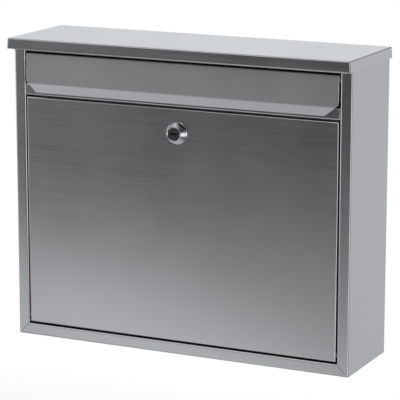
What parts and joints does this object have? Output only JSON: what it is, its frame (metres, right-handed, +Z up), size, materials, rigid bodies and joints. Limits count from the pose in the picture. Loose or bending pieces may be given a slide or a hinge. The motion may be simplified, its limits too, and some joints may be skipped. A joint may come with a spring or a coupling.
{
  "type": "wall mounted mailbox",
  "caption": "Folded stainless letterbox for a wall: roof cap, lift-up posting flap over a crossbar, bottom-hung door with a cam lock, pressed back plate with wall holes.",
  "frame": {"origin": "middle of the four wall holes, on the wall plane at the back", "axes": "+Z up, -Y out of the wall towards the viewer (the front), +X to the right seen from the front"},
  "size_m": [0.3646, 0.1096, 0.304],
  "materials": {
    "brushed_stainless": "fine horizontal brushed grain, satin",
    "lock_chrome": "bright chrome plate",
    "plug_dark_chrome": "dark polished metal",
    "zinc_plated": "bright zinc plate",
    "pin_steel": "turned steel",
    "rivet_aluminium": "satin",
    "wafer_brass": "stamped",
    "spacer_nylon": "natural nylon"
  },
  "bodies": {
    "casing": {"casing_wrap": "brushed_stainless", "back_panel": "brushed_stainless", "roof_cap": "brushed_stainless", "header_rail": "brushed_stainless", "slot_rail": "brushed_stainless", "back_rivets": "rivet_aluminium", "roof_rivets": "rivet_aluminium", "rail_rivets": "rivet_aluminium", "flap_pin_left": "pin_steel", "flap_pin_right": "pin_steel", "door_pin_left": "pin_steel", "door_pin_right": "pin_steel", "pin_clips": "zinc_plated", "pin_spacers": "spacer_nylon"},
    "flap": {"flap_panel": "brushed_stainless"},
    "door": {"door_panel": "brushed_stainless", "lock_housing": "lock_chrome", "lock_washer": "zinc_plated", "lock_nut": "zinc_plated"},
    "lock": {"lock_plug": "plug_dark_chrome", "lock_wafers": "wafer_brass", "plug_clip": "zinc_plated", "lock_cam": "zinc_plated", "cam_washer": "zinc_plated", "cam_bolt": "zinc_plated"}
  },
  "joints": [
    {"name": "flap_hinge", "type": "hinge", "parent": "casing", "child": "flap", "pos_m": [0, -0.0946, 0.1318], "axis": [-1, 0, 0], "range_deg": [0, 105]},
    {"name": "door_hinge", "type": "hinge", "parent": "casing", "child": "door", "pos_m": [0, -0.0941, -0.1324], "axis": [1, 0, 0], "range_deg": [0, 115]},
    {"name": "lock_turn", "type": "hinge", "parent": "door", "child": "lock", "pos_m": [0, -0.0986, 0.0694], "axis": [0, 1, 0], "range_deg": [0, 90]}
  ]
}
